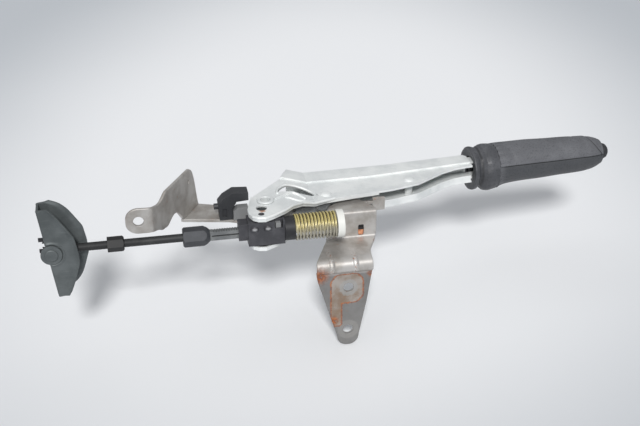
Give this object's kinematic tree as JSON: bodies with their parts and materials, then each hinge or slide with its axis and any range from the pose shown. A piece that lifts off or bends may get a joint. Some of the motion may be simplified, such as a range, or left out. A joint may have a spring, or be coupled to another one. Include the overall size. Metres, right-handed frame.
{
  "type": "parking brake lever",
  "caption": "Hand-operated parking brake lever with a stamped base bracket, ratchet, leather grip, release button, sprung self-adjuster, pull rod and cable equaliser.",
  "frame": {"origin": "centre of the upper bolt hole of the front foot, on its mounting face", "axes": "+X forward to the grip, +Y away from the mounting face (up in the car), +Z along the lever's pivot (to the right in the car, up as pictured)"},
  "size_m": [0.622, 0.158, 0.18],
  "materials": {
    "bare_steel": "bare stamped steel with rust",
    "dark_steel": "oiled dark steel",
    "black_steel": "black coated steel",
    "zinc": "bright zinc plate",
    "zinc_grey": "grey zinc plate",
    "yellow_zinc": "yellow passivated zinc",
    "black_plastic": "moulded black plastic",
    "grey_plastic": "moulded grey plastic",
    "white_plastic": "moulded white plastic",
    "dark_leather": "stitched dark leather"
  },
  "bodies": {
    "base": {"base_plate": "bare_steel", "front_foot": "bare_steel", "rear_leg": "bare_steel", "toothed_sector": "dark_steel", "sector_rivets": "dark_steel", "pivot_rivet": "zinc", "pivot_spacers": "zinc", "switch_body": "black_plastic"},
    "plunger": {"switch_plunger": "grey_plastic"},
    "lever": {"cheek_right": "zinc", "cheek_left": "zinc", "spine_channel": "zinc", "cross_rivets": "zinc", "grip_core": "black_plastic", "grip_sleeve": "dark_leather", "gaiter_collar": "dark_leather"},
    "button": {"release_button": "black_plastic", "release_rod": "dark_steel", "button_spring": "dark_steel"},
    "pawl": {"pawl": "dark_steel"},
    "adjuster": {"adjuster_housing": "black_steel", "housing_cap": "black_steel", "lock_wedge": "white_plastic"},
    "rod": {"adjuster_bar": "dark_steel", "take_up_spring": "yellow_zinc", "spring_collar": "white_plastic", "coupling_nut": "dark_steel", "tie_rod": "dark_steel", "lock_nut": "black_steel", "trunnion": "zinc_grey", "retaining_clip": "black_steel"},
    "equaliser": {"yoke_plate_near": "zinc_grey", "yoke_plate_far": "zinc_grey", "yoke_back": "zinc_grey"}
  },
  "joints": [
    {"name": "lever_pull", "type": "hinge", "parent": "base", "child": "lever", "pos_m": [-0.075, 0.049, 0.062], "axis": [0, 0, 1], "range_deg": [0, 36]},
    {"name": "switch_travel", "type": "slide", "parent": "base", "child": "plunger", "axis": [1, 0, 0], "range_m": [0, 0.0014]},
    {"name": "button_press", "type": "slide", "parent": "lever", "child": "button", "axis": [-0.998, -0.0628, 0], "range_m": [0, 0.006], "stiffness_N_per_m": 400, "deforming": ["button_spring"]},
    {"name": "pawl_lift", "type": "hinge", "parent": "lever", "child": "pawl", "pos_m": [-0.01, 0.0675, 0.062], "axis": [0, 0, 1], "range_deg": [0, 8.6]},
    {"name": "adjuster_swivel", "type": "hinge", "parent": "lever", "child": "adjuster", "pos_m": [-0.083, 0.022, 0.062], "axis": [0, 0, 1], "range_deg": [-36, 0]},
    {"name": "take_up", "type": "slide", "parent": "adjuster", "child": "rod", "axis": [1, 0, 0], "range_m": [0, 0.012], "deforming": ["take_up_spring"]},
    {"name": "equaliser_tilt", "type": "hinge", "parent": "rod", "child": "equaliser", "pos_m": [-0.284, 0.022, 0.062], "axis": [0, 1, 0], "range_deg": [-11, 25]}
  ],
  "couplings": [
    {"joint": "switch_travel", "follows": "lever_pull", "m_per_rad": 0.00222},
    {"joint": "adjuster_swivel", "follows": "lever_pull", "ratio": -1},
    {"joint": "pawl_lift", "follows": "button_press", "rad_per_m": 25}
  ]
}
